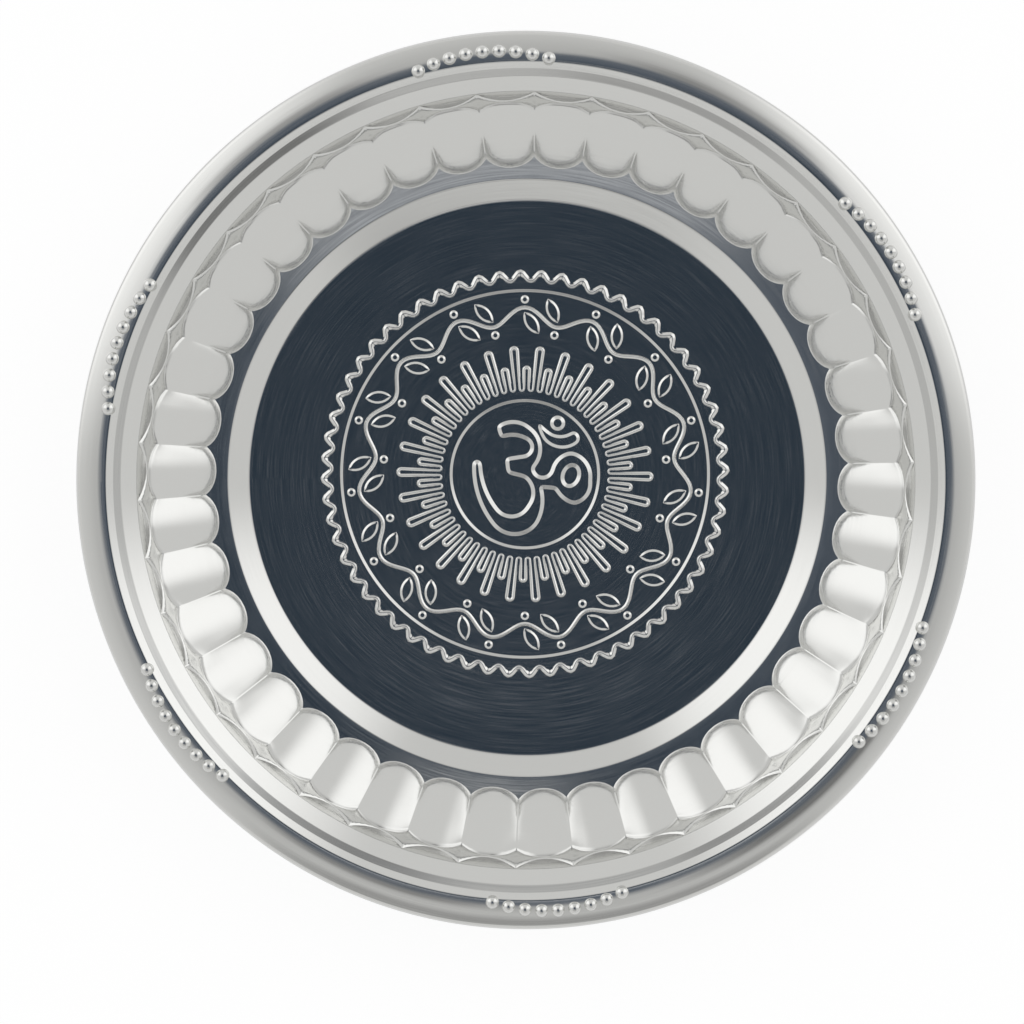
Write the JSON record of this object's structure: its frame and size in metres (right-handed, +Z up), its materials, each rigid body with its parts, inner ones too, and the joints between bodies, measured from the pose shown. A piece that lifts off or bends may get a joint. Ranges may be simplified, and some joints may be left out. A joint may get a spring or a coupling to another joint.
{
  "type": "puja thali",
  "caption": "Round shallow steel worship plate with a fluted wall, a beaded rim with a rolled edge and a struck sun medallion with an Om sign on its floor.",
  "frame": {"origin": "centre of the plate on the plane that its floor stands on", "axes": "+Z up through the open face of the plate, +Y towards the top of the Om sign, +X to the sign's right"},
  "size_m": [0.22, 0.22, 0.0261],
  "materials": {
    "polished_steel": "mirror polished stainless steel with fine circular brushing",
    "steel_wire": "plain drawn wire"
  },
  "bodies": {
    "root": {"pressed_plate": "polished_steel", "rim_wire": "steel_wire"}
  },
  "joints": []
}
